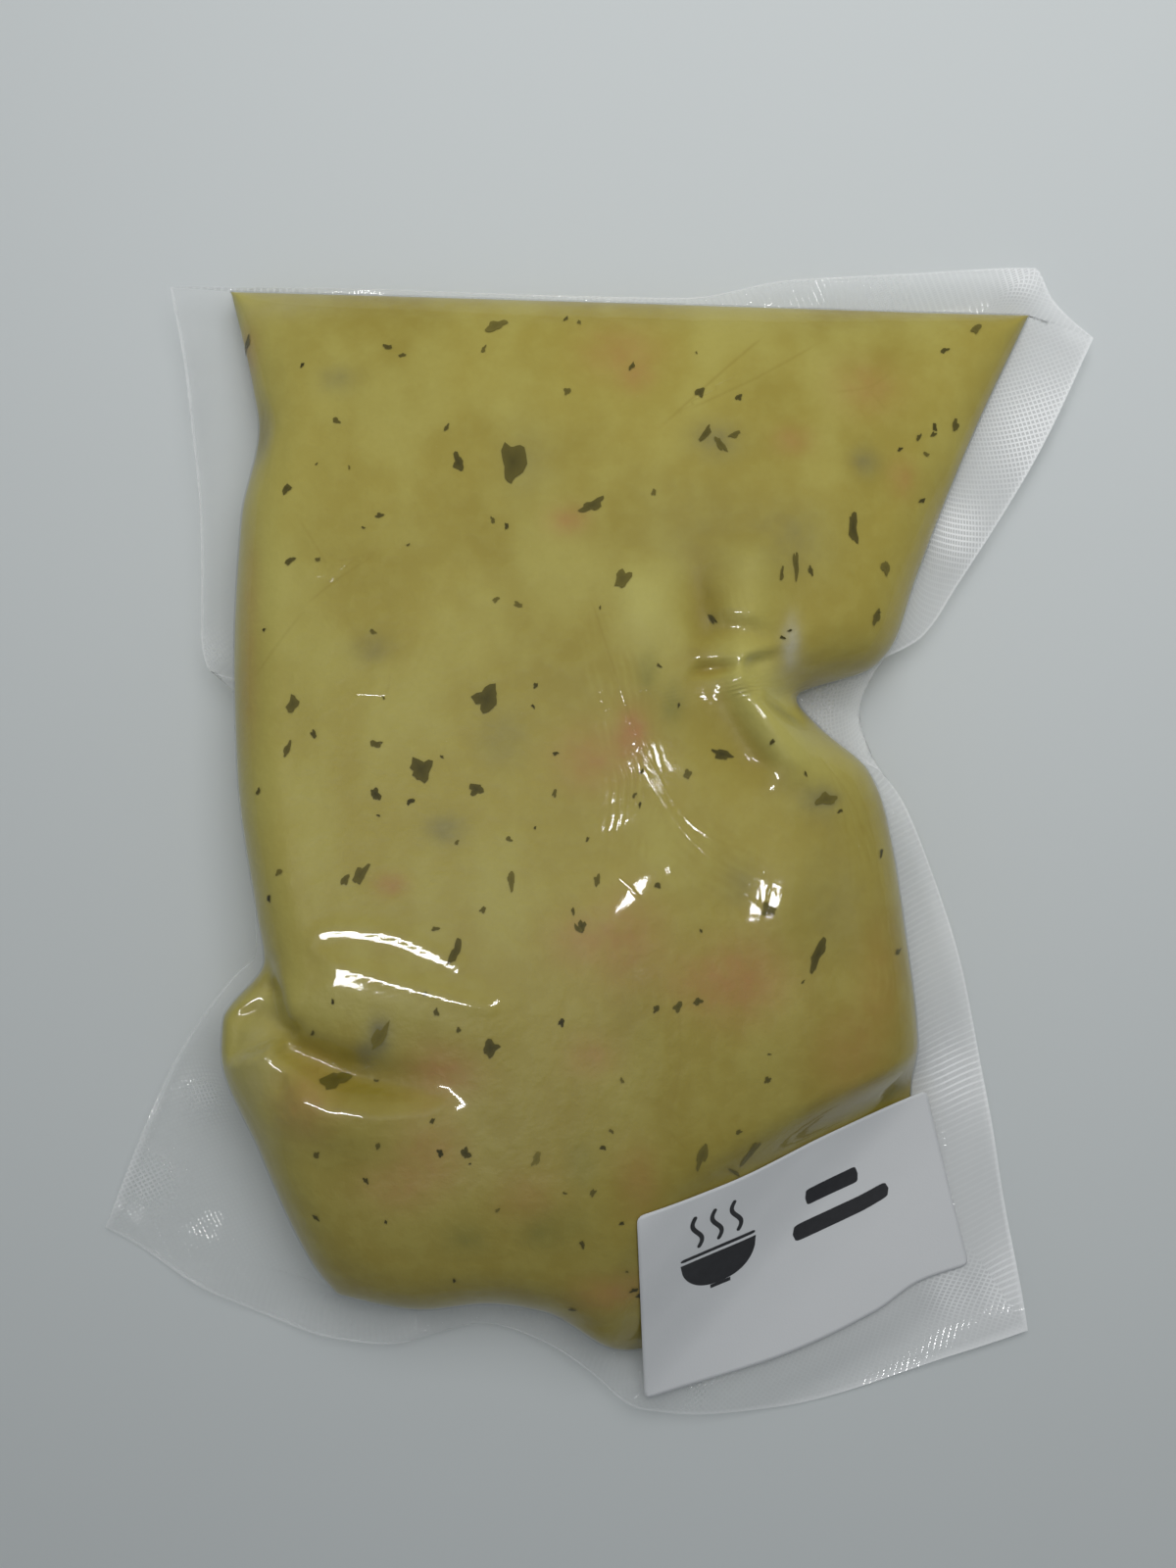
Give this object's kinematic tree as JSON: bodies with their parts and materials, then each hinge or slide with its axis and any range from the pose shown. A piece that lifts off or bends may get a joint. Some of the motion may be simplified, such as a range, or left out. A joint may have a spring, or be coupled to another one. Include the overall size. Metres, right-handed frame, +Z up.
{
  "type": "sealed pouch of chowder",
  "caption": "Clear heat-sealed pouch of yellow vegetable chowder lying on its back, with a small rectangular label stuck over its lower right corner.",
  "frame": {"origin": "bottom centre of the whole pouch, on the surface that it lies on", "axes": "+Z up out of the pouch's printed side, +Y towards its folded top end, +X to the right of the label"},
  "size_m": [0.214, 0.2476, 0.0297],
  "materials": {
    "chowder": "yellow chowder seen through glossy clear film",
    "film": "thin clear glossy pouch film",
    "label_paper": "smooth white label paper",
    "label_ink": "flat black print",
    "herbs": "wet dark green herb flakes",
    "carrot": "soft cooked carrot"
  },
  "bodies": {
    "root": {"pouch": "chowder", "label": "label_paper"}
  },
  "joints": []
}
